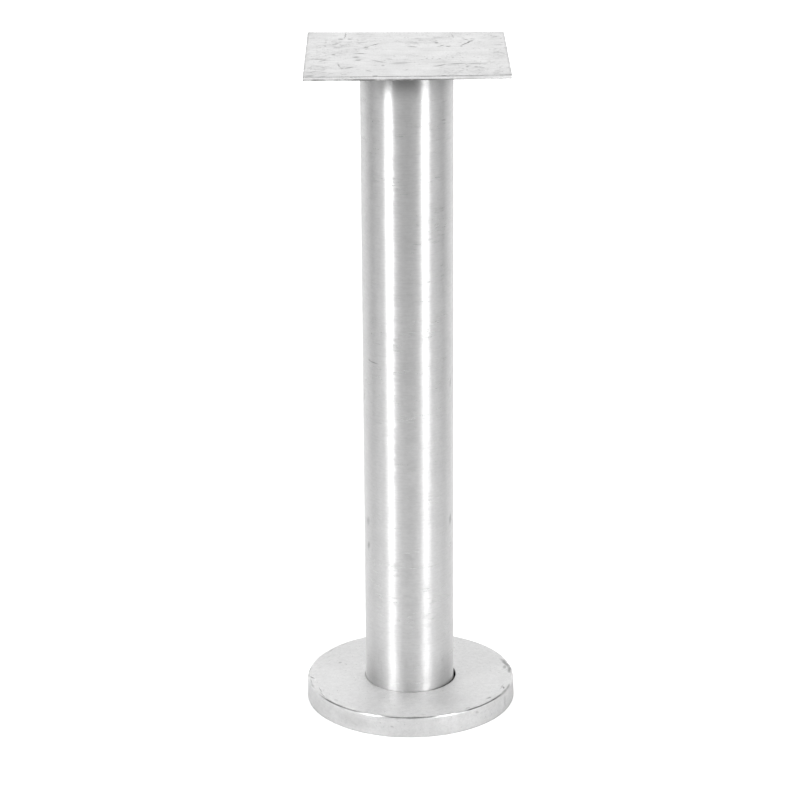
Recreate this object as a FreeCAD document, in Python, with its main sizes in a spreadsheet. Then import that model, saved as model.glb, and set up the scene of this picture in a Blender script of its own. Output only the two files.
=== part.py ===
import FreeCAD, Part
import math
import os

import Sketcher

# Deck post: a stainless tube between a square head plate and a round base flange, with a loose
# cover flange that drops over the base flange and its fixings.
# Frame: millimetres, +Z up, origin on the post's axis at deck level. The plate's sides lie
# along X and Y.

# alias: (value, what it is)
SIZES = {
    "post_height": (450.0, "deck to the top of the head plate"),
    "tube_diameter": (60.3, "tube, outside diameter (DN 50 pipe size)"),
    "tube_wall": (2.0, "tube wall"),
    "head_width": (130.0, "side of the square head plate"),
    "head_thickness": (2.5, "head plate"),
    "head_edge_break": (0.3, "deburred edges of the head plate"),
    "head_weld_leg": (3.5, "fillet weld under the head plate, leg length"),
    "base_diameter": (120.0, "base flange, outside diameter"),
    "base_thickness": (5.0, "base flange"),
    "base_edge_break": (0.5, "turned chamfer round the base flange"),
    "base_weld_leg": (4.0, "fillet weld on the base flange, leg length"),
    "vent_diameter": (10.0, "vent and drain hole inside the tube"),
    "bolt_circle": (96.0, "circle through the fixing holes' centres"),
    "bolt_hole": (9.0, "clearance hole for an M8 fixing"),
    "bolt_count": (4.0, "number of fixing holes"),
    "bolt_first_angle": (45.0, "angle of the first fixing hole from +X, degrees"),
    "cover_rim_diameter": (142.5, "cover flange, outside diameter at the deck"),
    "cover_height": (14.5, "cover flange, deck to its flat top"),
    "cover_sheet": (1.5, "cover flange, sheet thickness"),
    "cover_draft": (2.4, "lean of the cover's side wall, degrees"),
    "cover_outer_bend": (1.4, "outside radius of the bend at the cover's edge"),
    "cover_inner_bend": (0.3, "inside radius of the same bend"),
    "cover_hole": (62.0, "hole in the cover, which the tube runs through"),
    "cover_hole_break": (0.3, "deburred upper edge of the cover's hole"),
    "cover_shift_x": (0.6, "where the loose cover lies, off the tube's axis"),
    "cover_shift_y": (0.5, "where the loose cover lies, off the tube's axis"),
}

HORIZONTAL_AXIS = -1
VERTICAL_AXIS = -2
ORIGIN_POINT = (-1, 1)
START_POINT = 1
END_POINT = 2
CENTRE_POINT = 3
MATCH_TOLERANCE = 0.01


def make_sheet(doc):
    """The driving dimensions, one row each: value, alias and meaning."""
    sheet = doc.addObject("Spreadsheet::Sheet", "Sizes")
    for row, (alias, (value, meaning)) in enumerate(SIZES.items(), start=1):
        sheet.set(f"A{row}", str(value))
        sheet.setAlias(f"A{row}", alias)
        sheet.set(f"B{row}", meaning)
    doc.recompute()
    return sheet


def new_body(doc, label):
    body = doc.addObject("PartDesign::Body", label)
    body.Label = label
    return body


def raise_to(body, height):
    """Set the body's height above the deck from the sheet."""
    body.setExpression("Placement.Base.z", height)


def origin_feature(body, role):
    return next(item for item in body.Origin.OriginFeatures if item.Role == role)


def new_sketch(body, name, plane):
    sketch = body.newObject("Sketcher::SketchObject", name)
    sketch.AttachmentSupport = [(origin_feature(body, plane), "")]
    sketch.MapMode = "FlatFace"
    return sketch


def dimension(sketch, name, kind, references, value, expression):
    """Add one driving dimension and bind it to the sheet."""
    index = sketch.addConstraint(Sketcher.Constraint(kind, *references, value))
    sketch.renameConstraint(index, name)
    sketch.setExpression(f"Constraints.{name}", expression)


def add_circle(sketch, name, diameter, x=None, y=None):
    """A circle of the sheet's diameter, at the origin or at the expressions x and y."""
    start = FreeCAD.Vector(1, 1, 0) if x else FreeCAD.Vector(0, 0, 0)
    circle = sketch.addGeometry(Part.Circle(start, FreeCAD.Vector(0, 0, 1), 1))
    centre = (circle, CENTRE_POINT)
    if x:
        dimension(sketch, f"{name}_x", "DistanceX", (*ORIGIN_POINT, *centre), 1, x)
        dimension(sketch, f"{name}_y", "DistanceY", (*ORIGIN_POINT, *centre), 1, y)
    else:
        sketch.addConstraint(Sketcher.Constraint("Coincident", *centre, *ORIGIN_POINT))
    dimension(sketch, f"{name}_diameter", "Diameter", (circle,), 2, diameter)


def add_profile(sheet, sketch, corners):
    """A closed outline. Each corner is (name, distance from the axis, height) as expressions."""
    points = [
        FreeCAD.Vector(sheet_value(sheet, across), sheet_value(sheet, up), 0)
        for _, across, up in corners
    ]
    count = len(points)
    for i in range(count):
        sketch.addGeometry(Part.LineSegment(points[i], points[(i + 1) % count]))
    for i, (name, across, up) in enumerate(corners):
        following = (i + 1) % count
        sketch.addConstraint(
            Sketcher.Constraint("Coincident", i, END_POINT, following, START_POINT)
        )
        corner = (i, START_POINT)
        sides = (
            ("across", "DistanceX", across, points[i].x, VERTICAL_AXIS),
            ("up", "DistanceY", up, points[i].y, HORIZONTAL_AXIS),
        )
        for side, kind, expression, value, axis in sides:
            if expression == "0":
                sketch.addConstraint(Sketcher.Constraint("PointOnObject", *corner, axis))
                continue
            references = (*ORIGIN_POINT, *corner)
            dimension(sketch, f"{name}_{side}", kind, references, value, expression)


def sheet_value(sheet, expression):
    """The number that an expression over the sheet's cells gives."""
    value = sheet.evalExpression(expression.replace("Sizes.", ""))
    return float(getattr(value, "Value", value))


def pad(body, sketch, name, length):
    feature = body.newObject("PartDesign::Pad", name)
    feature.Profile = sketch
    feature.setExpression("Length", length)
    return feature


def revolve(body, sketch, name):
    """Turn a profile once round the vertical axis."""
    feature = body.newObject("PartDesign::Revolution", name)
    feature.Profile = sketch
    feature.ReferenceAxis = (sketch, ["V_Axis"])
    feature.Angle = 360
    return feature


def dress_edges(body, kind, name, base, edges, size_property, size):
    """A fillet or a chamfer on the named edges of the feature before it."""
    feature = body.newObject(kind, name)
    feature.Base = (base, edges)
    feature.setExpression(size_property, size)
    return feature


def circle_edges(shape, radius, height):
    """Names of the shape's level circular edges of one radius at one height."""
    names = []
    for number, edge in enumerate(shape.Edges, start=1):
        if not isinstance(edge.Curve, Part.Circle):
            continue
        same_radius = abs(edge.Curve.Radius - radius) < MATCH_TOLERANCE
        same_height = abs(edge.Curve.Center.z - height) < MATCH_TOLERANCE
        if same_radius and same_height:
            names.append(f"Edge{number}")
    return names


def make_head_plate(doc):
    """Square plate with sharp corners and lightly broken edges."""
    body = new_body(doc, "head_plate")
    sketch = new_sketch(body, "HeadOutline", "XY_Plane")
    near, far = -10, 10
    corners = [(near, near), (far, near), (far, far), (near, far)]
    points = [FreeCAD.Vector(x, y, 0) for x, y in corners]
    for i in range(4):
        sketch.addGeometry(Part.LineSegment(points[i], points[(i + 1) % 4]))
    for i in range(4):
        sketch.addConstraint(
            Sketcher.Constraint("Coincident", i, END_POINT, (i + 1) % 4, START_POINT)
        )
        direction = "Horizontal" if i % 2 == 0 else "Vertical"
        sketch.addConstraint(Sketcher.Constraint(direction, i))
    sketch.addConstraint(
        Sketcher.Constraint("Symmetric", 0, START_POINT, 2, START_POINT, *ORIGIN_POINT)
    )
    across = (0, START_POINT, 0, END_POINT)
    along = (1, START_POINT, 1, END_POINT)
    dimension(sketch, "width", "DistanceX", across, far - near, "Sizes.head_width")
    dimension(sketch, "depth", "DistanceY", along, far - near, "Sizes.head_width")
    plate = pad(body, sketch, "HeadPad", "Sizes.head_thickness")
    doc.recompute()
    every_edge = [f"Edge{number}" for number in range(1, len(plate.Shape.Edges) + 1)]
    dress_edges(body, "PartDesign::Chamfer", "HeadEdgeBreak", plate, every_edge,
                "Size", "Sizes.head_edge_break")
    raise_to(body, "Sizes.post_height - Sizes.head_thickness")
    return body


def make_post_tube(doc):
    """The tube, square cut at both ends, from the base flange to the head plate."""
    body = new_body(doc, "post_tube")
    sketch = new_sketch(body, "TubeSection", "XY_Plane")
    add_circle(sketch, "outside", "Sizes.tube_diameter")
    add_circle(sketch, "inside", "Sizes.tube_diameter - 2 * Sizes.tube_wall")
    pad(body, sketch, "TubePad",
        "Sizes.post_height - Sizes.head_thickness - Sizes.base_thickness")
    raise_to(body, "Sizes.base_thickness")
    return body


def make_base_flange(doc, sheet):
    """Round flange with a vent in the middle and a circle of fixing holes."""
    body = new_body(doc, "base_flange")
    outline = new_sketch(body, "FlangeOutline", "XY_Plane")
    add_circle(outline, "outside", "Sizes.base_diameter")
    add_circle(outline, "vent", "Sizes.vent_diameter")
    disc = pad(body, outline, "FlangePad", "Sizes.base_thickness")
    doc.recompute()

    rim_radius = sheet.base_diameter / 2
    rims = circle_edges(disc.Shape, rim_radius, sheet.base_thickness)
    rims += circle_edges(disc.Shape, rim_radius, 0)
    dress_edges(body, "PartDesign::Chamfer", "FlangeEdgeBreak", disc, rims,
                "Size", "Sizes.base_edge_break")
    doc.recompute()
    volume_before = body.Shape.Volume

    hole_sketch = new_sketch(body, "FixingHole", "XY_Plane")
    angle = "Sizes.bolt_first_angle * 1 deg"
    add_circle(hole_sketch, "hole", "Sizes.bolt_hole",
               x=f"Sizes.bolt_circle / 2 * cos({angle})",
               y=f"Sizes.bolt_circle / 2 * sin({angle})")
    hole = body.newObject("PartDesign::Pocket", "FixingHolePocket")
    hole.Profile = hole_sketch
    hole.Type = "ThroughAll"
    hole.Reversed = True
    doc.recompute()

    pattern = body.newObject("PartDesign::PolarPattern", "FixingHoles")
    pattern.Originals = [hole]
    pattern.Axis = (origin_feature(body, "Z_Axis"), [""])
    pattern.Angle = 360
    pattern.setExpression("Occurrences", "Sizes.bolt_count")
    body.Tip = pattern
    doc.recompute()

    drilled = volume_before - body.Shape.Volume
    one_hole = math.pi * (sheet.bolt_hole / 2) ** 2 * sheet.base_thickness
    if abs(drilled - sheet.bolt_count * one_hole) > 0.01 * one_hole:
        raise RuntimeError(f"the fixing holes removed {drilled:.1f} mm3")
    return body


def make_fillet_weld(doc, sheet, label, leg, corner_height, toe_height):
    """A ring of weld metal in the corner between the tube and a plate.

    It fills the corner at corner_height, and its toe on the tube is at toe_height.
    """
    body = new_body(doc, label)
    sketch = new_sketch(body, "".join((label, "_section")), "XZ_Plane")
    tube = "Sizes.tube_diameter / 2"
    add_profile(sheet, sketch, [
        ("root", tube, corner_height),
        ("plate_toe", f"{tube} + {leg}", corner_height),
        ("tube_toe", tube, toe_height),
    ])
    revolve(body, sketch, "".join((label, "_ring")))
    return body


def make_cover_flange(doc, sheet):
    """Pressed cup, open below, that slides on the tube and hides the base flange."""
    body = new_body(doc, "cover_flange")
    sketch = new_sketch(body, "CoverSection", "XZ_Plane")
    rim = "Sizes.cover_rim_diameter / 2"
    lean = "tan(Sizes.cover_draft * 1 deg)"
    sheet_across = "Sizes.cover_sheet / cos(Sizes.cover_draft * 1 deg)"
    height = "Sizes.cover_height"
    ceiling = "Sizes.cover_height - Sizes.cover_sheet"
    hole = "Sizes.cover_hole / 2"
    outer_edge = f"{rim} - {height} * {lean}"
    inner_edge = f"{rim} - {sheet_across} - ({ceiling}) * {lean}"
    add_profile(sheet, sketch, [
        ("rim_inside", f"{rim} - {sheet_across}", "0"),
        ("rim_outside", rim, "0"),
        ("outer_edge", outer_edge, height),
        ("hole_above", hole, height),
        ("hole_below", hole, ceiling),
        ("inner_edge", inner_edge, ceiling),
    ])
    cup = revolve(body, sketch, "CoverCup")
    doc.recompute()

    bends = (
        ("CoverOuterBend", outer_edge, height, "Sizes.cover_outer_bend"),
        ("CoverInnerBend", inner_edge, ceiling, "Sizes.cover_inner_bend"),
        ("CoverHoleBreak", hole, height, "Sizes.cover_hole_break"),
    )
    feature = cup
    for name, radius, level, bend in bends:
        edges = circle_edges(
            feature.Shape, sheet_value(sheet, radius), sheet_value(sheet, level)
        )
        feature = dress_edges(
            body, "PartDesign::Fillet", name, feature, edges, "Radius", bend
        )
        doc.recompute()
    body.setExpression("Placement.Base.x", "Sizes.cover_shift_x")
    body.setExpression("Placement.Base.y", "Sizes.cover_shift_y")
    return body


def check_document(doc, parts):
    """Stop before anything is written if an object failed or a shape is unusable."""
    for item in doc.Objects:
        failed = [state for state in item.State if state in ("Invalid", "Error")]
        if failed:
            raise RuntimeError(f"{item.Label} is {failed}")
    for part in parts:
        shape = part.Shape
        if shape.isNull() or not shape.isValid() or len(shape.Solids) != 1:
            raise RuntimeError(f"{part.Label} isn't one valid solid")


def main():
    doc = FreeCAD.newDocument("deck_post")
    sheet = make_sheet(doc)
    head_underside = "Sizes.post_height - Sizes.head_thickness"
    flange_top = "Sizes.base_thickness"
    parts = [
        make_head_plate(doc),
        make_fillet_weld(doc, sheet, "head_weld", "Sizes.head_weld_leg",
                         head_underside, f"{head_underside} - Sizes.head_weld_leg"),
        make_post_tube(doc),
        make_base_flange(doc, sheet),
        make_fillet_weld(doc, sheet, "base_weld", "Sizes.base_weld_leg",
                         flange_top, f"{flange_top} + Sizes.base_weld_leg"),
        make_cover_flange(doc, sheet),
    ]
    doc.recompute()
    check_document(doc, parts)
    os.makedirs("parts", exist_ok=True)
    for part in parts:
        part.Shape.exportStep(f"parts/{part.Label}.step")
        box = part.Shape.BoundBox
        print(
            f"{part.Label}: {part.Shape.Volume:.0f} mm3,"
            f" z {box.ZMin:.2f} to {box.ZMax:.2f}, x {box.XMin:.2f} to {box.XMax:.2f}"
        )


main()
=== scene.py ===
import math
import random

import bpy
from mathutils import Matrix, Vector, noise


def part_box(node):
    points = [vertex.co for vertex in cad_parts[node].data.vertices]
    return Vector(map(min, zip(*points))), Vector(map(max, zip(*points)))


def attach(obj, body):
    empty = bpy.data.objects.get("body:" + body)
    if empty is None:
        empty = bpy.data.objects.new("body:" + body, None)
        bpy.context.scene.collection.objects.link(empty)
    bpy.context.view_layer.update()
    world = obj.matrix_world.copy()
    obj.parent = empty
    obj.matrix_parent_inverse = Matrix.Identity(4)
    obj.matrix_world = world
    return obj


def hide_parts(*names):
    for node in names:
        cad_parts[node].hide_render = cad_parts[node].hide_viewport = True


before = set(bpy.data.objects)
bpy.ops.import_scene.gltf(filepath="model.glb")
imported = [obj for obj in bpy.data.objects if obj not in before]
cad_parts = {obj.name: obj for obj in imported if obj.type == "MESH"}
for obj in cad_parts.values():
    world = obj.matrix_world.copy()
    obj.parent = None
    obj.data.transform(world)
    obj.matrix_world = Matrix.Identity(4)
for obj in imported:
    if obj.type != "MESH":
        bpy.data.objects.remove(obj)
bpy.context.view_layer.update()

MM = 0.001

# Camera: where it stands in metres, how far it looks down, aside and tilts, and its lens in mm.
CAMERA_PLACE = Vector((-0.0116, -1.8223, 0.8528))
CAMERA_PITCH = math.radians(19.30)
CAMERA_YAW = math.radians(0.19)
CAMERA_ROLL = math.radians(-0.35)
CAMERA_LENS = 130.16

TUBE_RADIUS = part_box("post_tube")[1].x
COVER_LOW, COVER_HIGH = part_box("cover_flange")
COVER_CENTRE = ((COVER_LOW.x + COVER_HIGH.x) / 2, (COVER_LOW.y + COVER_HIGH.y) / 2)
COVER_RIM = (COVER_HIGH.x - COVER_LOW.x) / 2
COVER_TOP = COVER_HIGH.z
PLATE_LOW, PLATE_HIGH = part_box("head_plate")


# ---------------------------------------------------------------- materials

class Nodes:
    """A node tree under construction. Every call adds a node and returns its output."""

    def __init__(self, tree):
        self.tree = tree

    def node(self, kind, **settings):
        node = self.tree.nodes.new(kind)
        for name, value in settings.items():
            setattr(node, name, value)
        return node

    def plug(self, value, socket):
        """Link another node's output to the socket, or set the socket to a plain value."""
        if isinstance(value, bpy.types.NodeSocket):
            self.tree.links.new(value, socket)
        else:
            socket.default_value = value

    def maths(self, operation, first, second=0.0):
        node = self.node("ShaderNodeMath", operation=operation)
        self.plug(first, node.inputs[0])
        self.plug(second, node.inputs[1])
        return node.outputs[0]

    def split(self, vector):
        node = self.node("ShaderNodeSeparateXYZ")
        self.plug(vector, node.inputs[0])
        return node.outputs

    def join(self, x, y, z):
        node = self.node("ShaderNodeCombineXYZ")
        for socket, value in zip(node.inputs, (x, y, z)):
            self.plug(value, socket)
        return node.outputs[0]

    def noise(self, vector, scale, detail=2.0, roughness=0.5):
        """Noise from 0 to 1. The scale, in cells per metre, is one number or three."""
        if not isinstance(scale, (int, float)):
            stretch = self.node("ShaderNodeMapping")
            self.plug(vector, stretch.inputs["Vector"])
            stretch.inputs["Scale"].default_value = scale
            vector = stretch.outputs[0]
            scale = 1.0
        node = self.node("ShaderNodeTexNoise")
        self.plug(vector, node.inputs["Vector"])
        node.inputs["Scale"].default_value = scale
        node.inputs["Detail"].default_value = detail
        node.inputs["Roughness"].default_value = roughness
        return node.outputs["Fac"]

    def spread(self, value, low, high, to_low=0.0, to_high=1.0, smooth=False):
        """Map low..high to to_low..to_high, clamped at both ends."""
        node = self.node("ShaderNodeMapRange", clamp=True)
        node.interpolation_type = "SMOOTHSTEP" if smooth else "LINEAR"
        for socket, number in zip(node.inputs, (value, low, high, to_low, to_high)):
            self.plug(number, socket)
        return node.outputs[0]

    def sway(self, value, amount, reach=0.2):
        """A noise value turned into a variation of plus or minus the amount.

        The amount is met where the noise is off its middle by the reach: a short reach
        gives even, busy variation, and a long one a few strong places.
        """
        return self.spread(value, 0.5 - reach, 0.5 + reach, -amount, amount)

    def spread_degrees(self, angle, low, high, to_low=0.0, to_high=1.0, smooth=False):
        """Like spread, for an angle. Low and high are in degrees."""
        return self.spread(
            angle, math.radians(low), math.radians(high), to_low, to_high, smooth
        )

    def add(self, *values):
        total = values[0]
        for value in values[1:]:
            total = self.maths("ADD", total, value)
        return total

    def times(self, *values):
        total = values[0]
        for value in values[1:]:
            total = self.maths("MULTIPLY", total, value)
        return total

    def most(self, *values):
        top = values[0]
        for value in values[1:]:
            top = self.maths("MAXIMUM", top, value)
        return top

    def less(self, mask, amount):
        """A factor that is 1 where the mask is 0, and falls by the amount where it is 1."""
        return self.spread(mask, 0.0, 1.0, 1.0, 1.0 - amount)

    def wobble(self, place, scale, amount):
        """The place, shifted to and fro by noise, so that what is drawn on it isn't straight."""
        node = self.node("ShaderNodeTexNoise")
        self.plug(place, node.inputs["Vector"])
        node.inputs["Scale"].default_value = scale
        shift = self.node("ShaderNodeVectorMath", operation="MULTIPLY_ADD")
        self.plug(node.outputs["Color"], shift.inputs[0])
        shift.inputs[1].default_value = (2 * amount, 2 * amount, 0)
        shift.inputs[2].default_value = (-amount, -amount, 0)
        moved = self.node("ShaderNodeVectorMath", operation="ADD")
        self.plug(place, moved.inputs[0])
        self.plug(shift.outputs[0], moved.inputs[1])
        return moved.outputs[0]

    def veins(self, place, scale, thickness, detail=3.0):
        """Thin wandering lines: where a noise passes through its middle value."""
        value = self.noise(place, scale, detail=detail)
        offset = self.maths("ABSOLUTE", self.maths("SUBTRACT", value, 0.5))
        return self.spread(offset, 0.0, thickness, 1.0, 0.0, smooth=True)

    def marks(self, place, marks):
        """A mask of long narrow marks: (across, up, turn in degrees, length, width, strength).

        Places and sizes are in millimetres, on the flat or unrolled surface. Each mark's place
        takes in a trace of the mask so far, so that the marks are worked out one by one: all
        at once, a long list would overflow the shader's stack.
        """
        total = 0.0
        for across, up, turned, length, width, strength in marks:
            after = self.node("ShaderNodeVectorMath", operation="MULTIPLY_ADD")
            self.plug(total if total else (0, 0, 0), after.inputs[0])
            after.inputs[1].default_value = (1e-7, 0, 0)
            self.plug(place, after.inputs[2])
            local = self.node("ShaderNodeMapping", vector_type="TEXTURE")
            self.plug(after.outputs[0], local.inputs["Vector"])
            local.inputs["Location"].default_value = (across * MM, up * MM, 0)
            local.inputs["Rotation"].default_value = (0, 0, math.radians(turned))
            local.inputs["Scale"].default_value = (length / 2 * MM, width / 2 * MM, 1)
            size = self.node("ShaderNodeVectorMath", operation="LENGTH")
            self.plug(local.outputs[0], size.inputs[0])
            mask = self.spread(size.outputs["Value"], 0.25, 1.0, strength, 0.0, smooth=True)
            total = self.most(total, mask)
        return total

    def grey(self, value):
        """A colour with one tone in all three channels."""
        return self.join(value, value, value)

    def bump(self, height, distance, under=None):
        """A normal from a height of 0 to 1. The distance is how high 1 stands."""
        node = self.node("ShaderNodeBump")
        node.inputs["Distance"].default_value = distance
        self.plug(height, node.inputs["Height"])
        if under:
            self.plug(under, node.inputs["Normal"])
        return node.outputs[0]


class Material(Nodes):
    """A material under construction. Its place is that of each point, in metres."""

    def __init__(self, name):
        self.material = bpy.data.materials.new(name)
        self.material.use_nodes = True
        super().__init__(self.material.node_tree)
        self.surface = self.tree.nodes["Principled BSDF"]
        self.place = self.node("ShaderNodeTexCoord").outputs["Object"]

    def finish(self, **inputs):
        """Plug the surface's inputs, with _ for a space in their names. Returns the material."""
        for name, value in inputs.items():
            self.plug(value, self.surface.inputs[name.replace("_", " ")])
        return self.material


def scatter(seed, count, across, up, turned, length, width, strength):
    """Marks at random places. Every argument after the count is a range (low, high)."""
    draw = random.Random(seed)
    return [
        tuple(draw.uniform(*limits) for limits in (across, up, turned, length, width, strength))
        for _ in range(count)
    ]


def round_place(m, centre=(0.0, 0.0)):
    """Direction from a vertical axis (two numbers), angle from the front, radius, height."""
    x, y, z = m.split(m.place)
    x = m.maths("SUBTRACT", x, centre[0])
    y = m.maths("SUBTRACT", y, centre[1])
    radius = m.most(m.maths("SQRT", m.add(m.times(x, x), m.times(y, y))), 0.01 * MM)
    angle = m.maths("ARCTAN2", x, m.times(y, -1.0))
    return (m.maths("DIVIDE", x, radius), m.maths("DIVIDE", y, radius)), angle, radius, z


def brush_lines(m, direction, across, pitch, length_turns, detail=2.0):
    """Lines that run round an axis: one each pitch, and far longer than they are apart."""
    vector = m.join(
        m.times(direction[0], length_turns),
        m.times(direction[1], length_turns),
        m.times(across, 1.0 / pitch),
    )
    return m.noise(vector, 1.0, detail=detail, roughness=0.6)


def upright_tangent(m):
    """Tangent round the axis, so that brushing round it smears reflections up and down."""
    return m.node("ShaderNodeTangent", direction_type="RADIAL", axis="Z").outputs[0]


# How far the smear of a brushed surface is turned from its tangent, as a share of a turn.
SMEAR_TURN = 0.25


# Marks on the tube: millimetres round it from the front, and up.
TUBE_SCRATCHES = [
    (-26.0, 247.7, 0, 12.5, 0.9, 1.0),
    (-30.5, 248.3, -4, 4.0, 1.2, 0.8),
    (-21.5, 261.5, 2, 8.0, 0.6, 0.5),
    (-24.7, 410.5, 0, 1.2, 1.0, 1.0),
    (-27.7, 267.5, 0, 1.2, 1.1, 1.0),
]
TUBE_SMUDGES = [
    (35.8, 230.7, 80, 9.0, 3.0, 0.8),
    (-39.3, 221.0, 85, 10.0, 2.5, 0.7),
    (35.4, 134.6, 80, 11.0, 5.5, 1.0),
    (-34.5, 133.0, 85, 9.0, 5.0, 0.6),
    (-34.0, 114.5, 85, 9.0, 5.5, 1.0),
    (25.2, 34.2, 10, 5.0, 4.0, 0.35),
]


def tube_wear(m, unrolled, z):
    """The tube's scratches, and all that dulls it: scratches, smudges, specks and rubbing."""
    around = (-94, 94)
    behind_left, behind_right = (-90, -50), (50, 90)
    scratches = m.marks(
        m.wobble(unrolled, 300, 0.3 * MM),
        TUBE_SCRATCHES + scatter(3, 5, around, (20, 435), (-6, 6), (3, 9), (0.4, 0.8), (0.3, 0.6)),
    )
    smudges = m.marks(
        m.wobble(unrolled, 120, 2.5 * MM),
        TUBE_SMUDGES
        + scatter(5, 5, behind_right, (30, 430), (60, 120), (6, 18), (2, 4), (0.3, 0.6))
        + scatter(6, 5, behind_left, (30, 430), (60, 120), (6, 18), (2, 4), (0.3, 0.6)),
    )
    specks = m.times(
        m.spread(m.noise(unrolled, 420, detail=1.0), 0.72, 0.78),
        m.spread(m.noise(unrolled, 35), 0.5, 0.6),
    )
    rubbed = m.times(
        m.spread(m.noise(unrolled, (900, 45, 1), detail=2.0), 0.6, 0.72),
        m.spread(z, 16 * MM, 95 * MM, 0.8, 0.0),
    )
    worn = m.most(scratches, m.times(smudges, 0.7), m.times(specks, 0.35), m.times(rubbed, 0.25))
    return scratches, worn


def tube_painted_shade(m, angle, z):
    """Masks of painted shade: the head plate's shadow and dark reflection on the tube just under
    it, and shade on the tube's foot above the cover.
    """
    # Painted shade that the head plate casts and mirrors on the tube just below it, strongest
    # towards the front.
    scale = m.times(
        m.spread(z, PLATE_LOW.z - 24.0 * MM, PLATE_LOW.z - 5.0 * MM, smooth=True),
        m.spread_degrees(angle, -40, -26, 0.30, 0.92),
        m.spread_degrees(angle, 6, 24, 1.0, 0.33, smooth=True),
    )
    # Painted shade on the tube's foot just above the cover, stronger on its flanks.
    low = m.spread(z, COVER_TOP, COVER_TOP + 42.0 * MM, 1.0, 0.0, smooth=True)
    off_front = m.spread_degrees(m.maths("ABSOLUTE", angle), 10, 30, 0.3, 1.0)
    return scale, m.times(low, low, off_front)


def brushed_tube():
    """Stainless tube, brushed round: fine and medium lines in broad bands, a few marks."""
    m = Material("brushed_tube")
    direction, angle, _, z = round_place(m)
    unrolled = m.join(m.times(angle, TUBE_RADIUS), z, 0.0)
    fine = brush_lines(m, direction, z, 0.3 * MM, 4.0, detail=3.0)
    medium = brush_lines(m, direction, z, 0.8 * MM, 3.6, detail=1.0)
    broad = brush_lines(m, direction, z, 8.0 * MM, 0.8)
    stain = m.noise(m.place, (90, 90, 55), detail=4.0)
    flecks = m.noise(m.place, (450, 450, 700), detail=1.0)
    scratches, worn = tube_wear(m, unrolled, z)
    # Painted shade below the head plate and on the foot.
    scale, foot = tube_painted_shade(m, angle, z)
    tone = m.times(
        m.add(0.815, m.sway(fine, 0.015), m.sway(medium, 0.022, 0.15), m.sway(broad, 0.012),
              m.sway(stain, 0.022), m.sway(flecks, 0.022)),
        m.less(worn, 0.38),
        # Painted shade below the head plate darkens the tone.
        m.less(scale, 0.60),
        # Painted shade on the foot darkens the tone.
        m.less(foot, 0.25),
    )
    rough = m.add(
        0.355, m.sway(fine, 0.02), m.sway(medium, 0.065, 0.12), m.sway(broad, 0.02),
        m.times(worn, 0.15), m.times(scale, 0.1),
    )
    height = m.add(fine, m.times(medium, 0.8), m.times(scratches, -6.0))
    return m.finish(
        Base_Color=m.grey(tone),
        Metallic=1.0,
        Roughness=rough,
        Anisotropic=m.add(0.955, m.sway(fine, 0.008, 0.15)),
        Anisotropic_Rotation=m.add(SMEAR_TURN, m.sway(medium, 0.004, 0.1)),
        Tangent=upright_tangent(m),
        Normal=m.bump(height, 0.0012 * MM),
    )


# Marks on the cover, and one painted dark reflection of the tube: millimetres round its rim from
# the front, and out over top and edge.
COVER_MARKS = [
    (-138.0, 52.3, 10, 5.0, 2.8, 0.4),
    (-106.0, 68.0, -35, 7.0, 1.2, 1.0),
    (-82.0, 67.2, 8, 17.0, 0.9, 0.7),
    (-76.0, 68.8, 6, 12.0, 0.9, 0.6),
    (-62.5, 66.2, -40, 4.5, 1.0, 0.9),
    (-13.0, 78.0, 15, 4.0, 2.0, 0.35),
    (128.0, 68.0, -6, 24.0, 4.2, 0.7),
    (122.0, 66.0, 12, 9.0, 3.4, 0.5),
    (117.0, 68.6, 4, 15.0, 3.8, 0.7),
    (86.0, 67.6, -30, 6.0, 2.2, 0.8),
    (65.0, 66.5, 8, 7.0, 2.4, 0.7),
    (48.3, 74.5, 20, 5.0, 3.0, 0.35),
    (-41.0, 80.0, 20, 14.0, 5.0, 0.4),
    (-41.0, 78.0, 0, 38.0, 18.0, 0.30),
    # Painted dark reflection of the tube on the cover's top, right of its foot.
    (34.0, 50.0, 0, 52.0, 26.0, 0.10),
    (108.0, 79.0, 0, 22.0, 14.0, 0.22),
    (80.0, 78.0, 90, 12.0, 4.0, 0.3),
]
# Polished spots along the bend, with a lighter colour that is a painted highlight; columns as for
# the marks.
COVER_POLISH_AND_GLINTS = [
    (-77.0, 68.0, 4, 12.0, 1.2, 1.0),
    (-62.0, 68.4, 3, 13.0, 1.3, 0.9),
    (-46.0, 68.8, 0, 15.0, 1.2, 1.0),
    (-101.0, 66.5, 10, 6.0, 1.6, 0.7),
    (33.0, 68.6, 0, 9.0, 1.0, 0.6),
]


# Where the middle of the bend lies, out from the axis over the cover's top.
BEND_OUT = 70.6 * MM


def cover_wear_masks(m, unrolled, off_bend):
    """Marks cut into the cover, with one painted dark reflection among them, and all that dulls
    it: the marks, a scuffed edge and specks.
    """
    around = (-220, 220)
    marks = m.marks(
        m.wobble(unrolled, 260, 0.9 * MM),
        COVER_MARKS
        + scatter(11, 12, around, (36, 84), (-30, 30), (2, 8), (0.6, 1.6), (0.2, 0.5))
        + scatter(12, 8, around, (66, 70.5), (-8, 8), (5, 16), (1.0, 2.2), (0.2, 0.5)),
    )
    scuffed = m.times(
        m.spread(off_bend, 0.0, 2.2 * MM, 1, 0),
        m.spread(m.noise(unrolled, (70, 260, 1), detail=3.0), 0.5, 0.64),
    )
    specks = m.spread(m.noise(m.place, 650, detail=1.0), 0.70, 0.76)
    return marks, m.most(marks, m.times(scuffed, 0.7), m.times(specks, 0.35))


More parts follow.
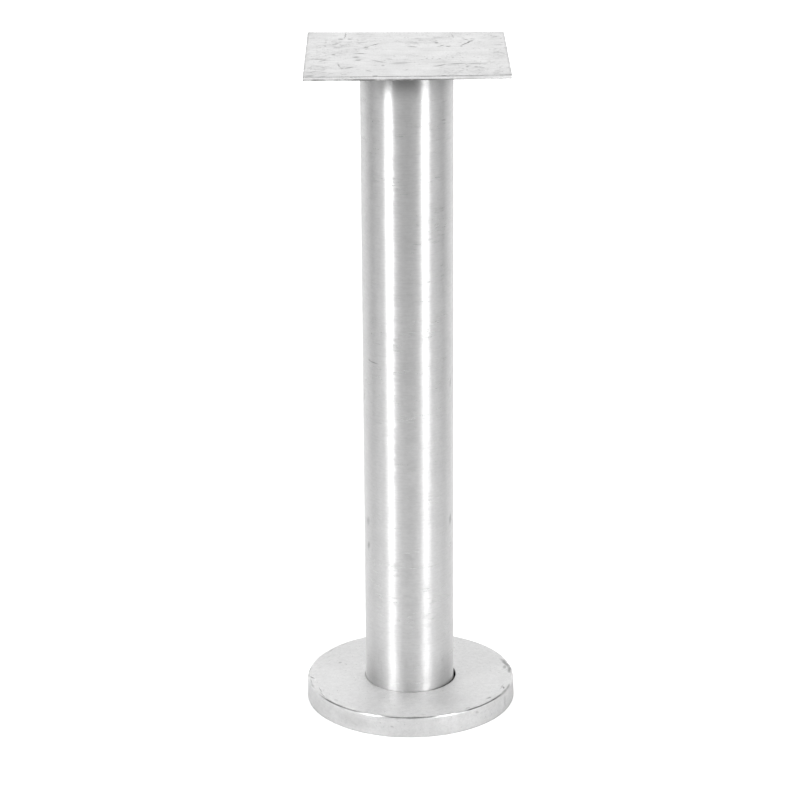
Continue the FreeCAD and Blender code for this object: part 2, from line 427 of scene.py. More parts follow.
def cover_bend_masks(m, unrolled, off_bend, turned):
    """The polished front of the bend, painted lighter there as a highlight, and a painted dark
    reflection along its front and sides.
    """
    bend_polish_and_highlight = m.times(
        m.spread(off_bend, 0.5 * MM, 1.5 * MM, 1.0, 0.0, smooth=True),
        m.spread_degrees(turned, 26, 34, 1.0, 0.0),
    )
    sides = m.times(m.spread_degrees(turned, 27, 33), m.spread_degrees(turned, 52, 64, 1.0, 0.0))
    front = m.spread_degrees(turned, 11, 16, 0.7, 0.0)
    # Painted dark reflection in a thin line along the bend: round its front, and on its sides.
    painted_bend_reflection = m.times(
        m.spread(off_bend, 0.25 * MM, 0.85 * MM, 1.0, 0.0),
        m.most(sides, front),
        m.spread(m.noise(unrolled, (60, 10, 1), detail=3.0), 0.3, 0.5, 0.5, 1.0),
    )
    return bend_polish_and_highlight, painted_bend_reflection


def wall_tone(m, angle, turned, lines):
    """How much lighter the cover's wall is than its top: brushing, two painted highlight bands
    where the strip lights reflect, and painted shade towards the sides.
    """
    # Painted highlights: bands where the strip lights reflect in the wall.
    right_painted_highlight = m.times(
        m.spread_degrees(angle, 14, 17, 0.0, 0.035), m.spread_degrees(angle, 25.5, 27, 1.0, 0.0)
    )
    left_painted_highlight = m.times(
        m.spread_degrees(angle, -38, -33, 0.0, 0.04), m.spread_degrees(angle, -23, -19, 1.0, 0.0)
    )
    # Painted shade on the wall towards the sides.
    painted_side_shade = m.spread_degrees(turned, 36, 50, 0.0, -0.03)
    return m.add(0.014, m.sway(lines, 0.02), m.most(right_painted_highlight, left_painted_highlight), painted_side_shade)


def satin_cover():
    """Pressed cover: satin top, finer brushed wall, and between them a polished bend with painted
    highlights and a painted dark reflection on it.
    """
    m = Material("satin_cover")
    direction, angle, radius, z = round_place(m, COVER_CENTRE)
    out = m.add(radius, m.maths("SUBTRACT", COVER_TOP, z))
    unrolled = m.join(m.times(angle, COVER_RIM), out, 0.0)
    turned = m.maths("ABSOLUTE", angle)
    off_bend = m.maths("ABSOLUTE", m.maths("SUBTRACT", out, BEND_OUT))
    wall = m.spread(z, COVER_TOP - 2.0 * MM, COVER_TOP - 1.0 * MM, 1.0, 0.0)
    fine = brush_lines(m, direction, out, 0.3 * MM, 3.0, detail=3.0)
    medium = brush_lines(m, direction, out, 1.3 * MM, 2.5)
    grain = m.noise(m.place, 900, detail=3.0, roughness=0.6)
    cloud = m.noise(m.place, 55, detail=4.0)
    mottle = m.noise(m.place, 330, detail=2.0, roughness=0.6)
    marks, worn = cover_wear_masks(m, unrolled, off_bend)
    # Painted highlights on polished spots along the bend.
    spot_polish_and_glints = m.marks(m.wobble(unrolled, 200, 0.5 * MM), COVER_POLISH_AND_GLINTS)
    # Painted highlight on the bend's polished front, and painted dark reflection along the bend.
    bend_polish_and_highlight, painted_bend_reflection = cover_bend_masks(m, unrolled, off_bend, turned)
    tone = m.times(
        m.add(0.838, m.sway(grain, 0.035), m.sway(mottle, 0.035), m.sway(cloud, 0.03),
              m.times(wall, wall_tone(m, angle, turned, medium)),
              # Painted shade towards the right; painted highlights on the polished spots and on
              # the bend's front.
              m.times(direction[0], -0.014), m.times(spot_polish_and_glints, 0.14), m.times(bend_polish_and_highlight, 0.16)),
        # The wear mask also holds the painted dark reflection of the tube.
        m.less(worn, 0.58),
        # Painted dark reflection along the bend.
        m.less(painted_bend_reflection, 0.74),
    )
    rough = m.add(
        0.61, m.sway(cloud, 0.05), m.sway(grain, 0.04), m.times(wall, -0.21),
        m.times(worn, 0.12), m.times(bend_polish_and_highlight, -0.24), m.times(spot_polish_and_glints, -0.12),
    )
    height = m.add(
        m.times(fine, wall), m.times(grain, 0.8), m.times(mottle, 2.0), m.times(marks, -5.0)
    )
    return m.finish(
        Base_Color=m.grey(tone),
        Metallic=1.0,
        Roughness=rough,
        Anisotropic=m.most(m.times(wall, 0.5), m.times(bend_polish_and_highlight, 0.85)),
        Anisotropic_Rotation=SMEAR_TURN,
        Tangent=upright_tangent(m),
        Normal=m.bump(height, 0.006 * MM),
    )


# Marks on top of the head plate, in millimetres from the post's axis.
PLATE_SCRATCHES = [
    (-42.9, 43.0, 5, 5.0, 4.2, 0.85),
    (-37.0, 43.0, 0, 4.4, 4.2, 0.85),
    (-40.0, 53.0, 88, 26.0, 1.0, 0.7),
    (-46.0, 28.0, 50, 9.0, 2.6, 0.7),
    (-26.0, 18.0, 52, 11.0, 2.2, 0.75),
    (-20.5, 26.0, 48, 13.0, 2.2, 0.85),
    (-29.5, -0.3, -2, 11.0, 3.0, 0.9),
    (-32.5, -10.4, 12, 6.0, 3.2, 0.9),
    (-31.0, -19.0, 15, 6.0, 3.2, 0.9),
    (-42.8, -34.0, 100, 14.0, 1.4, 0.6),
    (-40.8, -41.0, 10, 3.2, 3.2, 0.8),
    (-36.0, -39.5, 20, 8.0, 2.6, 0.8),
    (-15.0, -34.7, 10, 2.8, 4.0, 0.5),
    (-18.0, -23.2, -43, 20.0, 4.0, 0.45),
    (-4.0, -28.6, 4, 20.0, 5.0, 0.45),
    (39.0, 41.0, -45, 8.5, 2.0, 1.0),
    (39.6, 30.5, 63, 28.0, 2.2, 1.0),
    (43.0, 42.0, 20, 5.0, 2.0, 0.9),
    (19.4, 30.4, 4, 4.4, 4.0, 1.0),
    (4.0, 19.0, -8, 9.0, 3.2, 1.0),
    (20.5, 19.5, 0, 3.0, 2.0, 0.7),
    (27.0, 19.6, 0, 4.0, 3.2, 0.9),
    (30.6, 51.5, 92, 17.0, 1.2, 0.5),
    (21.0, -36.0, 36, 14.0, 2.6, 0.8),
    (32.0, -31.6, 6, 16.0, 4.6, 0.65),
    (43.5, -31.4, 2, 17.0, 4.4, 0.5),
    (12.6, -15.4, 0, 2.4, 3.0, 0.7),
    (16.5, -16.6, 20, 2.2, 2.6, 0.6),
    (20.8, -17.0, 0, 2.8, 3.0, 0.7),
    (25.0, -15.2, 30, 2.2, 2.8, 0.6),
    (29.2, -13.0, 0, 2.4, 3.2, 0.7),
    (-60.5, -61.5, 10, 8.0, 6.0, 0.6),
    (-52.5, -62.5, 0, 7.0, 3.0, 0.45),
    (-20.0, -63.2, 0, 6.0, 3.0, 0.9),
    (22.6, -63.5, 0, 6.0, 2.6, 0.9),
    (38.0, -40.6, 0, 2.4, 3.6, 0.6),
    (43.4, -40.8, 5, 3.6, 4.0, 0.65),
    (49.6, -31.0, 10, 5.0, 2.6, 0.6),
    (33.9, -51.7, 8, 5.0, 2.4, 0.6),
    (60.0, 23.8, -8, 9.0, 1.8, 0.9),
    (-55.0, -16.5, -20, 20.0, 3.0, 0.5),
]


# Radius of the faint heat ring that the weld underneath leaves on the plate's top.
WELD_RING = 33.5 * MM


def plate_sides(m):
    """Masks of the head plate's top, its underside and its edge face."""
    _, _, facing = m.split(m.node("ShaderNodeNewGeometry").outputs["True Normal"])
    above = m.spread(facing, 0.3, 0.7)
    below = m.spread(facing, -0.7, -0.3, 1.0, 0.0)
    return above, below, m.maths("SUBTRACT", 1.0, m.add(above, below))


def plate_wear(m, flat, patch):
    """Masks of small wear, each in patches: long veins, short squiggles, specks."""
    veins = m.times(
        m.veins(m.wobble(flat, 90, 3.0 * MM), (70, 115, 1), 0.030),
        m.spread(patch, 0.46, 0.62),
    )
    squiggles = m.times(
        m.veins(flat, 210, 0.045, detail=1.0),
        m.spread(m.noise(flat, 48, detail=1.0), 0.58, 0.70),
    )
    specks = m.times(
        m.spread(m.noise(flat, 330, detail=2.0), 0.62, 0.72),
        m.spread(m.noise(flat, 30, detail=1.0), 0.42, 0.62),
    )
    return veins, squiggles, specks


def plate_border(m, flat, x, y, inside):
    """Dull patches along the outline, and the four darker corners."""
    border = m.times(
        m.spread(inside, 0.0, 1.6 * MM, 1.0, 0.0),
        m.spread(m.noise(flat, 65, detail=3.0), 0.36, 0.56, 0.3, 1.0),
    )
    # x times y is largest at two corners, and x times -y at the other two
    corner_area = 4150 * MM * MM
    corners = m.most(
        m.spread(m.times(x, m.times(y, -1.0)), 3400 * MM * MM, corner_area),
        m.spread(m.times(x, y), 3700 * MM * MM, corner_area),
    )
    return m.most(m.times(border, 0.55), m.times(corners, 0.35))


def plate_arrises(m, x, z, inside):
    """Broken dark lines along the top and bottom of the edge face, fainter to the right."""
    return m.times(
        m.spread(inside, 0.25 * MM, 0.7 * MM, 1.0, 0.0),
        m.most(
            m.spread(z, PLATE_HIGH.z - 0.7 * MM, PLATE_HIGH.z - 0.3 * MM, 0.0, 0.55),
            m.spread(z, PLATE_LOW.z + 0.4 * MM, PLATE_LOW.z + 0.9 * MM, 1.0, 0.0),
        ),
        m.spread(m.noise(m.place, 130, detail=3.0), 0.38, 0.60, 0.3, 1.0),
        m.spread(x, 15 * MM, 45 * MM, 1.0, 0.5),
    )


def mill_plate():
    """Unpolished plate: mill finish drawn along x, scratches, a weld ring, an underside darkened
    by weld tint and painted shade.
    """
    m = Material("mill_plate")
    x, y, z = m.split(m.place)
    flat = m.join(x, y, 0.0)
    radius = m.maths("SQRT", m.add(m.times(x, x), m.times(y, y)))
    off_middle = m.most(m.maths("ABSOLUTE", x), m.maths("ABSOLUTE", y))
    inside = m.maths("SUBTRACT", PLATE_HIGH.x, off_middle)
    above, below, face = plate_sides(m)
    drawn = m.noise(m.place, (28, 520, 520), detail=4.0, roughness=0.65)
    cloud = m.noise(m.place, 60, detail=6.0, roughness=0.62)
    patch = m.noise(m.place, 26, detail=2.0)
    grain = m.noise(m.place, (700, 190, 700), detail=2.0)
    area = (-62, 62)
    scratches = m.marks(
        m.wobble(flat, 220, 1.0 * MM),
        PLATE_SCRATCHES
        + scatter(21, 22, area, area, (-60, 60), (2, 10), (1.0, 3.0), (0.3, 0.9)),
    )
    veins, squiggles, specks = plate_wear(m, flat, patch)
    off_ring = m.maths("ABSOLUTE", m.maths("SUBTRACT", radius, WELD_RING))
    ring = m.times(
        m.spread(off_ring, 0.0, 3.0 * MM, 1.0, 0.0, smooth=True),
        m.spread(patch, 0.3, 0.6),
    )
    # Weld tint and painted shade under the plate: darkest near the tube, a quarter as dark further
    # out.
    tint_and_painted_shade = m.times(
        below, m.spread(m.add(radius, m.sway(patch, 6 * MM)), 36 * MM, 60 * MM, 1.0, 0.25)
    )
    worn = m.most(
        scratches, m.times(veins, 0.34), m.times(squiggles, 0.36), m.times(specks, 0.7),
        plate_border(m, flat, x, y, inside),
    )
    worn = m.times(worn, m.spread(face, 0.0, 1.0, 1.0, 0.25))
    worn = m.most(worn, plate_arrises(m, x, z, inside))
    tone = m.times(
        m.add(0.744, m.sway(drawn, 0.06), m.sway(cloud, 0.045), m.sway(grain, 0.045),
              # The edge face is lighter, and the plate is painted a shade darker towards its
              # front.
              m.times(face, 0.12), m.spread(y, -60 * MM, -15 * MM, -0.025, 0.0)),
        m.less(worn, 0.61),
        m.less(ring, 0.07),
        # Weld tint and painted shade on the underside.
        m.less(tint_and_painted_shade, 0.75),
    )
    rough = m.add(
        0.47, m.sway(cloud, 0.07), m.sway(grain, 0.03), m.times(worn, 0.12),
        m.times(face, 0.25),
    )
    relief = m.bump(m.add(drawn, m.times(grain, 0.6)), 0.008 * MM)
    cut = m.times(m.most(scratches, m.times(veins, 0.4), m.times(squiggles, 0.6)), above)
    return m.finish(
        Base_Color=m.grey(tone),
        Metallic=1.0,
        Roughness=rough,
        Normal=m.bump(m.times(cut, -1.0), 0.05 * MM, relief),
    )


def tinted(m, tone, heat, green_loss, blue_loss):
    """A grey that turns to straw where the heat mask is 1: green and blue lose that share."""
    return m.join(
        tone, m.times(tone, m.less(heat, green_loss)), m.times(tone, m.less(heat, blue_loss))
    )


def weld_metal():
    """Weld bead: bright ripples, with straw and grey heat tint in patches."""
    m = Material("weld_metal")
    grain = m.noise(m.place, 900, detail=4.0)
    patch = m.noise(m.place, 70, detail=3.0)
    tone = m.add(0.55, m.sway(grain, 0.05), m.sway(patch, 0.08))
    tint = m.spread(patch, 0.4, 0.65)
    return m.finish(
        Base_Color=tinted(m, tone, tint, 0.06, 0.16),
        Metallic=1.0,
        Roughness=m.add(0.34, m.sway(grain, 0.06), m.sway(patch, 0.06)),
        Normal=m.bump(grain, 0.02 * MM),
    )


def cut_steel():
    """Base flange: rolled faces with fine scratches, a cut rim, heat tint round the weld."""
    m = Material("cut_steel")
    _, angle, radius, z = round_place(m)
    rolled = m.noise(m.place, (30, 600, 600), detail=4.0, roughness=0.6)
    cloud = m.noise(m.place, 50, detail=5.0)
    striae = m.noise(m.join(m.times(angle, 160.0), m.times(z, 90.0), 0.0), 1.0, detail=3.0)
    rim = m.spread(radius, 59.2 * MM, 59.6 * MM)
    area = (-58, 58)
    x, y, _ = m.split(m.place)
    scratches = m.marks(
        m.wobble(m.join(x, y, 0.0), 120, 1.0 * MM),
        scatter(31, 16, area, area, (0, 180), (6, 26), (0.3, 0.8), (0.3, 0.8)),
    )
    heat = m.spread(m.add(radius, m.sway(cloud, 3 * MM)), 34.5 * MM, 42 * MM, 1.0, 0.0)
    tone = m.times(
        m.add(0.66, m.sway(rolled, 0.04), m.sway(cloud, 0.05)),
        m.less(scratches, 0.25),
        m.less(heat, 0.35),
    )
    rough = m.add(0.40, m.sway(cloud, 0.06), m.times(scratches, 0.15), m.times(rim, 0.12))
    height = m.add(
        m.times(rolled, m.less(rim, 1.0)), m.times(striae, rim, 5.0), m.times(scratches, -2.0)
    )
    return m.finish(
        Base_Color=tinted(m, tone, heat, 0.05, 0.14),
        Metallic=1.0,
        Roughness=rough,
        Normal=m.bump(height, 0.012 * MM),
    )


# ---------------------------------------------------------------- meshes

def add_mesh(name, points, faces, material, body, replaced):
    """A smooth-shaded piece on a body, in place of the CAD node that it replaces."""
    mesh = bpy.data.meshes.new(name)
    mesh.from_pydata(points, [], faces)
    mesh.validate()
    mesh.materials.append(material)
    mesh.polygons.foreach_set("use_smooth", [True] * len(mesh.polygons))
    piece = bpy.data.objects.new(name, mesh)
    bpy.context.scene.collection.objects.link(piece)
    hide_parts(replaced)
    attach(piece, body)
    return piece


def arc(centre, radius, start, end, steps):
    """Points (across, up) on an arc; the angles are in degrees from the outward direction."""
    points = []
    for i in range(steps + 1):
        angle = math.radians(start + (end - start) * i / steps)
        points.append((
            centre[0] + radius * math.cos(angle),
            centre[1] + radius * math.sin(angle),
        ))
    return points


def fill_in(profile, step):
    """The closed profile with points added, so that no stretch is longer than step."""
    points = []
    for i, (across, up) in enumerate(profile):
        next_across, next_up = profile[(i + 1) % len(profile)]
        length = math.hypot(next_across - across, next_up - up)
        parts = max(1, math.ceil(length / step))
        for k in range(parts):
            share = k / parts
            points.append((
                across + (next_across - across) * share,
                up + (next_up - up) * share,
            ))
    return points


def turn(profile, centre, around, change=None):
    """Points and faces of a closed profile turned round a vertical axis.

    change(across, up, angle) may return a small shift (outwards, upwards) for a point.
    """
    points = []
    for k in range(around):
        angle = math.tau * k / around
        direction = Vector((math.cos(angle), math.sin(angle), 0))
        for across, up in profile:
            out, lift = change(across, up, angle) if change else (0.0, 0.0)
            points.append(
                Vector((centre[0], centre[1], up + lift)) + direction * (across + out)
            )
    count = len(profile)
    faces = []
    for k in range(around):
        following = (k + 1) % around
        for i in range(count):
            j = (i + 1) % count
            faces.append((
                k * count + i,
                following * count + i,
                following * count + j,
                k * count + j,
            ))
    return points, faces


def bell(offset, half_width):
    """1 at no offset, falling smoothly to 0 at the half width."""
    share = min(1.0, abs(offset) / half_width)
    return (1 - share * share) ** 2


TUBE_WALL = 2.0 * MM


def make_tube():
    """The tube, with its two ends deburred."""
    low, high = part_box("post_tube")
    edge = 0.15 * MM
    row = 4 * MM
    around = 256
    inner = TUBE_RADIUS - TUBE_WALL
    profile = [
        (inner, low.z),
        (TUBE_RADIUS - edge, low.z),
        (TUBE_RADIUS, low.z + edge),
        (TUBE_RADIUS, high.z - edge),
        (TUBE_RADIUS - edge, high.z),
        (inner, high.z),
    ]
    points, faces = turn(fill_in(profile, row), (0, 0), around)
    return add_mesh(
        "post_tube_brushed", points, faces, brushed_tube(), "post",
        "post_tube",
    )


COVER_SHEET = 1.5 * MM
COVER_LEAN = math.tan(math.radians(2.4))
COVER_HOLE = 31.0 * MM
KNOCK_REACH = 4.0 * MM

# Knocks on the cover's edge: degrees round from the front, half width and depth in mm.
COVER_KNOCKS = (
    (-88, 2.6, 0.45), (-66, 1.8, 0.25), (-57, 2.4, 0.30), (42, 2.0, 0.25), (55, 1.8, 0.35),
    (70, 2.6, 0.40), (93, 3.6, 0.50), (104, 4.2, 0.45), (112, 2.2, 0.30), (-150, 2.5, 0.35),
    (-124, 1.6, 0.25), (158, 3.0, 0.40), (-172, 1.8, 0.25),
)


def cover_wear(across, up, angle):
    """How a point of the cover is shifted by knocks on its edge and by uneven pressing."""
    direction = Vector((math.cos(angle), math.sin(angle), 0))
    sag = noise.noise(direction * 1.4 + Vector((0, 0, across * 30))) * 0.10 * MM
    out = 0.0
    lift = sag if up > COVER_TOP - 2 * COVER_SHEET else 0.0
    near_edge = bell(across - COVER_RIM, KNOCK_REACH) * bell(up - COVER_TOP, KNOCK_REACH)
    if near_edge > 0:
        turned = math.degrees(angle) + 90
        for place, half_width, depth in COVER_KNOCKS:
            offset = (turned - place + 180) % 360 - 180
            along = math.radians(offset) * COVER_RIM
            dent = bell(along, half_width * MM) * depth * MM * near_edge
            out -= dent
            lift -= dent * 0.7
    return out, lift


def make_cover():
    """The pressed cover: an open cup upside down, with a slightly leaning wall and a hole."""
    hole_edge = 0.3 * MM
    bend = 1.4 * MM
    inner_bend = 0.3 * MM
    foot = 0.2 * MM
    row = 1.6 * MM
    around = 600
    ceiling = COVER_TOP - COVER_SHEET
    outer_corner = COVER_RIM - COVER_TOP * COVER_LEAN
    inner_corner = COVER_RIM - COVER_SHEET - ceiling * COVER_LEAN
    profile = (
        [(COVER_RIM - COVER_SHEET + foot, 0.0), (COVER_RIM - foot, 0.0), (COVER_RIM, foot)]
        + arc((outer_corner - bend, COVER_TOP - bend), bend, 2, 90, 8)
        + arc((COVER_HOLE + hole_edge, COVER_TOP - hole_edge), hole_edge, 90, 180, 3)
        + [(COVER_HOLE, ceiling)]
        + arc((inner_corner - inner_bend, ceiling - inner_bend), inner_bend, 90, 2, 3)
        + [(COVER_RIM - COVER_SHEET, foot)]
    )
    points, faces = turn(fill_in(profile, row), COVER_CENTRE, around, cover_wear)
    return add_mesh(
        "cover_flange_satin", points, faces, satin_cover(), "cover",
        "cover_flange",
    )


# Nicks in the head plate's edges: side (0 right, 1 back, 2 left, 3 front), millimetres
# along it from its middle, half width and depth.
PLATE_NICKS = (
    (0, 11, 1.6, 0.45), (0, 23, 1.2, 0.25), (0, -40, 2.4, 0.2), (1, -28, 1.5, 0.25),
    (1, 44, 2.2, 0.3), (2, -30, 2.6, 0.35), (2, 12, 1.4, 0.2), (2, 46, 3.0, 0.25),
    (3, -38, 1.8, 0.2), (3, 3, 2.6, 0.3), (3, 27, 1.3, 0.2),
)


def plate_outline(half, corner, per_side):
    """Places round the plate, each with how far wear shifts it: straight sides, round corners."""
    points = []
    straight = half - corner
    sheared = 0.03 * MM
    corner_steps = 4
    for side in range(4):
        angle = side * math.pi / 2
        normal = Vector((math.cos(angle), math.sin(angle)))
        along = Vector((-normal.y, normal.x))
        for i in range(per_side):
            reach = straight * (-1 + 2 * i / (per_side - 1))
            depth = sheared * (1 + noise.noise(Vector((reach / MM * 0.35, side * 7.1, 0))))
            for where, place, half_width, nick in PLATE_NICKS:
                if where == side:
                    depth += bell(reach - place * MM, half_width * MM) * nick * MM
            points.append((normal * half + along * reach, -normal * depth))
        middle = normal * straight + along * straight
        for i in range(1, corner_steps):
            bend = angle + math.pi / 2 * i / corner_steps
            direction = Vector((math.cos(bend), math.sin(bend)))
            points.append((middle + direction * corner, Vector((0, 0))))
    return points


def plate_warp(x, y):
    """Lift of the plate that welding left: a twist, and a droop in the middle of its front."""
    half = PLATE_HIGH.x
    twist = -0.35 * MM * (x / half) * (y / half)
    past_tube = max(0.0, (-y - TUBE_RADIUS) / (half - TUBE_RADIUS))
    droop = -0.25 * MM * (1 - (x / half) ** 2) * past_tube
    return twist + droop


def make_plate():
    """The head plate: rings of points from the middle of its top, over the edge, to below."""
    low, high = PLATE_LOW, PLATE_HIGH
    half = high.x
    thickness = high.z - low.z
    corner = 0.8 * MM
    edge = 0.25 * MM
    edge_middle = edge * 0.3
    hollow = 0.04 * MM
    fade = 1.5 * MM
    middle_gap = 1.0 * MM
    per_side = 261
    top_rows, under_rows = 60, 20
    outline = plate_outline(half, corner, per_side)
    count = len(outline)

    def insets(rows):
        return [edge + (half - middle_gap - edge) * i / rows for i in range(rows + 1)]

    # each ring: how far in from the outline, and its height
    rings = [(inset, high.z) for inset in reversed(insets(top_rows))]
    rings += [(edge_middle, high.z - edge_middle), (0.0, high.z - edge)]
    rings += [(hollow, low.z + thickness * share) for share in (0.7, 0.5, 0.3)]
    rings += [(0.0, low.z + edge), (edge_middle, low.z + edge_middle)]
    rings += [(inset, low.z) for inset in insets(under_rows)]
    points = []
    for inset, up in rings:
        scale = (half - inset) / half
        strength = max(0.0, 1 - inset / fade)
        for place, shift in outline:
            x, y = place * scale + shift * strength
            points.append((x, y, up + plate_warp(x, y)))
    faces = []
    for r in range(len(rings) - 1):
        here, below = r * count, (r + 1) * count
        for i in range(count):
            j = (i + 1) % count
            faces.append((here + i, below + i, below + j, here + j))
    last = (len(rings) - 1) * count
    faces.append(tuple(range(count)))
    faces.append(tuple(last + i for i in reversed(range(count))))
    return add_mesh(
        "head_plate_milled", points, faces, mill_plate(), "post", "head_plate"
    )


def make_weld(node, plate_level, tube_level, material):
    """A fillet bead round the tube, with the crescent ripples that a welder's hand leaves."""
    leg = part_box(node)[1].x - TUBE_RADIUS
    rise = tube_level - plate_level
    crown = 0.10 * leg
    pitch = 1.7 * MM
    ripple_height = 0.16 * MM
    toe_wander = 0.12 * MM
    outward = 0.7
    steps = 14
    around = 1110
    face = []
    for i in range(steps + 1):
        share = i / steps
        swell = crown * 4 * share * (1 - share)
        face.append((
            TUBE_RADIUS + leg * share + swell * outward,
            tube_level - rise * share + math.copysign(swell * outward, rise),
        ))
    profile = [(TUBE_RADIUS, plate_level)] + face
    if rise > 0:
        profile.reverse()

    def ripple(across, up, angle):
        share = min(1.0, max(0.0, (across - TUBE_RADIUS) / leg))
        in_the_corner = abs(up - plate_level) < 1e-7 and share < 1e-3
        if in_the_corner:
            return 0.0, 0.0
        wander = noise.noise(Vector((math.cos(angle), math.sin(angle), 0)) * 9)
        phase = angle * TUBE_RADIUS / pitch + 0.9 * (2 * share - 1) ** 2 + 0.35 * wander
        saw = phase - math.floor(phase)
        height = (1 - saw) * min(1.0, saw * 6)
        lift = height * ripple_height * math.sqrt(max(0.0, 4 * share * (1 - share)))
        toe = toe_wander * wander * (share ** 4)
        return lift * outward + toe, math.copysign(lift * outward, rise)

    points, faces = turn(profile, (0, 0), around, ripple)
    return add_mesh(f"{node}_bead", points, faces, material, "post", node)


def keep_node(name, material):
    """Show a CAD node as it is, with a finished material."""
    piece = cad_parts[name]
    piece.data.materials.clear()
    piece.data.materials.append(material)


# ---------------------------------------------------------------- studio

FLOOR_RADIUS = 8.0
FLOOR_SIDES = 96


def floor_tone(m, distance, facing):
    """The floor as metal mirrors it: darker further out in front, pale behind the post, with
    painted shade close to it.
    """
    front_near, front_far, rear = 0.92, 0.33, 0.92
    behind = m.spread_degrees(facing, 95, 125, smooth=True)
    in_front = m.maths("SUBTRACT", 1.0, behind)
    front = m.times(m.spread(distance, 0.15, 1.4, front_near, front_far), in_front)
    # Painted shade on the floor close to the post, seen only in reflections.
    painted_contact_shade = m.spread(distance, 0.07, 0.20, 0.86, 1.0)
    return m.times(m.add(front, m.times(behind, rear)), painted_contact_shade)


def floor_material():
    """Pale paint. The camera sees a glow on top, which grows until the floor meets the sky."""
    m = Material("studio_floor")
    m.tree.nodes.remove(m.surface)
    x, y, _ = m.split(m.place)
    distance = m.maths("SQRT", m.add(m.times(x, x), m.times(y, y)))
    facing = m.maths("ARCTAN2", m.maths("ABSOLUTE", x), m.times(y, -1.0))
    ray = m.node("ShaderNodeLightPath").outputs
    plain_tone = 0.93
    pick = m.node("ShaderNodeMix", data_type="FLOAT")
    m.plug(ray["Is Glossy Ray"], pick.inputs[0])
    m.plug(plain_tone, pick.inputs[2])
    m.plug(floor_tone(m, distance, facing), pick.inputs[3])
    paint = m.node("ShaderNodeBsdfDiffuse")
    m.plug(m.grey(pick.outputs[0]), paint.inputs["Color"])
    glow = m.node("ShaderNodeEmission")
    strength = m.spread(distance, 0.4, 2.4, 0.42, 0.9)
    m.plug(m.times(ray["Is Camera Ray"], strength), glow.inputs["Strength"])
    both = m.node("ShaderNodeAddShader")
    m.plug(paint.outputs[0], both.inputs[0])
    m.plug(glow.outputs[0], both.inputs[1])
    m.plug(both.outputs[0], m.tree.nodes["Material Output"].inputs["Surface"])
    return m.material


def make_floor():
    """A round floor under the post, for the camera and the metal to see."""
    points = []
    for k in range(FLOOR_SIDES):
        angle = math.tau * k / FLOOR_SIDES
        points.append((FLOOR_RADIUS * math.cos(angle), FLOOR_RADIUS * math.sin(angle), 0.0))
    mesh = bpy.data.meshes.new("floor")
    mesh.from_pydata(points, [], [tuple(range(FLOOR_SIDES))])
    mesh.materials.append(floor_material())
    floor = bpy.data.objects.new("floor", mesh)
    bpy.context.scene.collection.objects.link(floor)


# The studio walls that the metal mirrors: degrees from the front, and tone. Both sides alike.
WALL_TONES = (
    (0, 0.48), (15, 0.54), (33, 1.05), (60, 1.35), (80, 1.0), (98, 0.72), (115, 0.73),
    (124, 0.78), (131, 1.3), (142, 1.5),
)


def make_world():
    """Walls in upright bands, dimmer high up, for the metal. The camera sees plain white."""
    world = bpy.data.worlds.new("studio")
    bpy.context.scene.world = world
    world.use_nodes = True
    w = Nodes(world.node_tree)
    w.tree.nodes.clear()
    x, y, z = w.split(w.node("ShaderNodeTexCoord").outputs["Generated"])
    turned = w.maths("ABSOLUTE", w.maths("ARCTAN2", x, w.times(y, -1.0)))
    walls = w.node("ShaderNodeValToRGB")
    stops = walls.color_ramp.elements
    while len(stops) < len(WALL_TONES):
        stops.new(0.5)
    for stop, (degrees, tone) in zip(stops, WALL_TONES):
        stop.position = degrees / 180
        stop.color = (tone, tone, tone, 1)
    w.plug(w.maths("DIVIDE", turned, math.pi), walls.inputs[0])
    studio = w.node("ShaderNodeBackground")
    w.plug(walls.outputs[0], studio.inputs["Color"])
    w.plug(w.spread(z, 0.45, 0.75, 1.0, 0.28), studio.inputs["Strength"])
    seen = w.node("ShaderNodeBackground")
    seen.inputs["Color"].default_value = (1, 1, 1, 1)
    pick = w.node("ShaderNodeMixShader")
    w.plug(w.node("ShaderNodeLightPath").outputs["Is Camera Ray"], pick.inputs[0])
    w.plug(studio.outputs[0], pick.inputs[1])
    w.plug(seen.outputs[0], pick.inputs[2])
    w.plug(pick.outputs[0], w.node("ShaderNodeOutputWorld").inputs["Surface"])


def add_softbox(name, place, target, width, height, radiance, mirrored=True):
    """A rectangular light that faces the target. Metal reflects it if mirrored."""
    light = bpy.data.lights.new(name, "AREA")
    light.shape = "RECTANGLE"
    light.size = width
    light.size_y = height
    light.energy = radiance * math.pi * width * height
    lamp = bpy.data.objects.new(name, light)
    lamp.location = place
    direction = Vector(target) - Vector(place)
    lamp.rotation_mode = "QUATERNION"
    lamp.rotation_quaternion = direction.to_track_quat("-Z", "Y")
    lamp.visible_camera = False
    lamp.visible_glossy = mirrored
    bpy.context.scene.collection.objects.link(lamp)
    return lamp


def link_light(lamp, pieces, state):
    """Let the lamp light only the pieces (INCLUDE), or everything but them (EXCLUDE)."""
    group = bpy.data.collections.new(f"{lamp.name}_{state.lower()}")
    for piece in pieces:
        group.objects.link(piece)
    for member in group.collection_objects:
        member.light_linking.link_state = state
    lamp.light_linking.receiver_collection = group


def add_strip(name, turned, foot, height, width, radiance):
    """An upright strip of light that faces the post, turned by degrees from the front."""
    distance = 1.6
    angle = math.radians(turned)
    place = (distance * math.sin(angle), -distance * math.cos(angle), foot + height / 2)
    return add_softbox(name, place, (0, 0, place[2]), width, height, radiance)


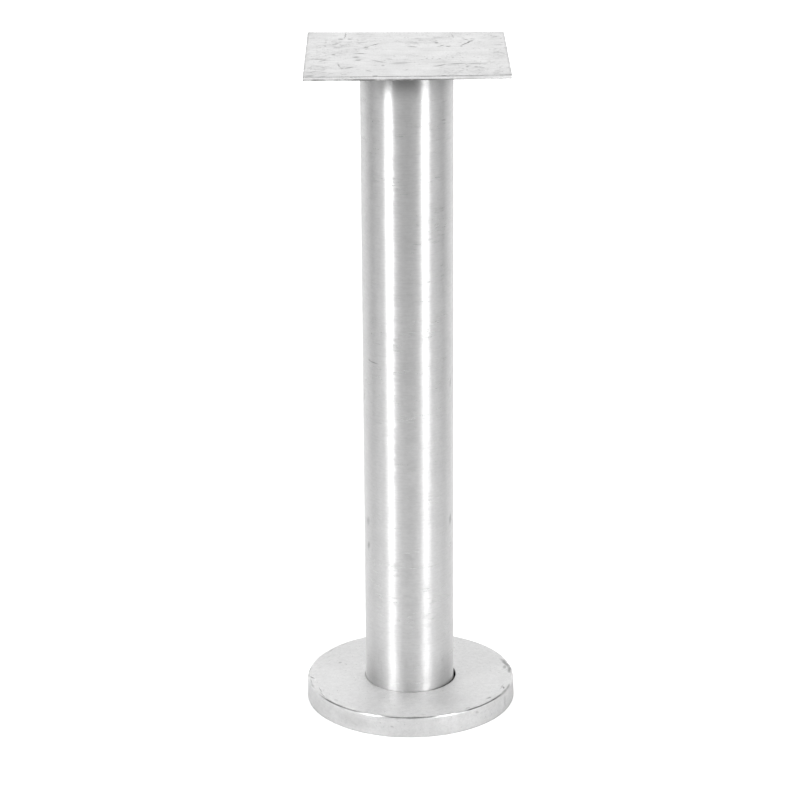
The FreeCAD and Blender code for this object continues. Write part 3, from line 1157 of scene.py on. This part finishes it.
def make_lights(cover, plate):
    """Strips at the front left and right, and a wash for the floor.

    The tube has a wide low strip and a narrower tall one above it on each side. The cover and
    the plate are flat on top and would mirror those whole, so each has strips of its own.
    """
    # side, degrees from the front of the low strip and of the tall one, width of the tall one
    sides = (("left", -46.4, -46.1, 0.46), ("right", 45.4, 42.0, 0.32))
    for side, turned, tall_turned, tall_width in sides:
        low = add_strip(
            f"strip_low_{side}", turned, foot=0.42, height=0.45, width=0.53, radiance=5.8
        )
        tall = add_strip(
            f"strip_{side}", tall_turned, foot=0.87, height=1.45, width=tall_width, radiance=5.8
        )
        for strip in (low, tall):
            link_light(strip, (cover, plate), "EXCLUDE")
        rim = add_strip(
            f"rim_light_{side}", turned, foot=0.95, height=1.3, width=0.5, radiance=8.2
        )
        link_light(rim, (cover,), "INCLUDE")
        edge = add_strip(
            f"edge_light_{side}", turned, foot=0.02, height=0.40, width=0.53, radiance=13.0
        )
        link_light(edge, (plate,), "INCLUDE")
    add_softbox(
        "floor_wash", (0, 0, 2.6), (0, 0, 0), width=2.4, height=2.4, radiance=0.55,
        mirrored=False,
    )


def make_camera():
    """The camera: aimed by its pitch and yaw, then rolled about its line of sight."""
    sensor = 36.0
    forward = Vector((
        math.sin(CAMERA_YAW) * math.cos(CAMERA_PITCH),
        math.cos(CAMERA_YAW) * math.cos(CAMERA_PITCH),
        -math.sin(CAMERA_PITCH),
    ))
    level = Vector((math.cos(CAMERA_YAW), -math.sin(CAMERA_YAW), 0))
    upright = level.cross(forward)
    right = level * math.cos(CAMERA_ROLL) + upright * math.sin(CAMERA_ROLL)
    up = upright * math.cos(CAMERA_ROLL) - level * math.sin(CAMERA_ROLL)
    data = bpy.data.cameras.new("camera")
    data.sensor_width = sensor
    data.lens = CAMERA_LENS
    camera = bpy.data.objects.new("camera", data)
    camera.matrix_world = (
        Matrix.Translation(CAMERA_PLACE)
        @ Matrix((right, up, -forward)).transposed().to_4x4()
    )
    bpy.context.scene.collection.objects.link(camera)
    bpy.context.scene.camera = camera


make_tube()
cover = make_cover()
plate = make_plate()
bead = weld_metal()
make_weld("head_weld", PLATE_LOW.z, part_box("head_weld")[0].z, bead)
make_weld("base_weld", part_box("base_weld")[0].z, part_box("base_weld")[1].z, bead)
keep_node("base_flange", cut_steel())

make_floor()
make_world()
make_lights(cover, plate)
make_camera()
bpy.context.scene.view_settings.view_transform = "Standard"
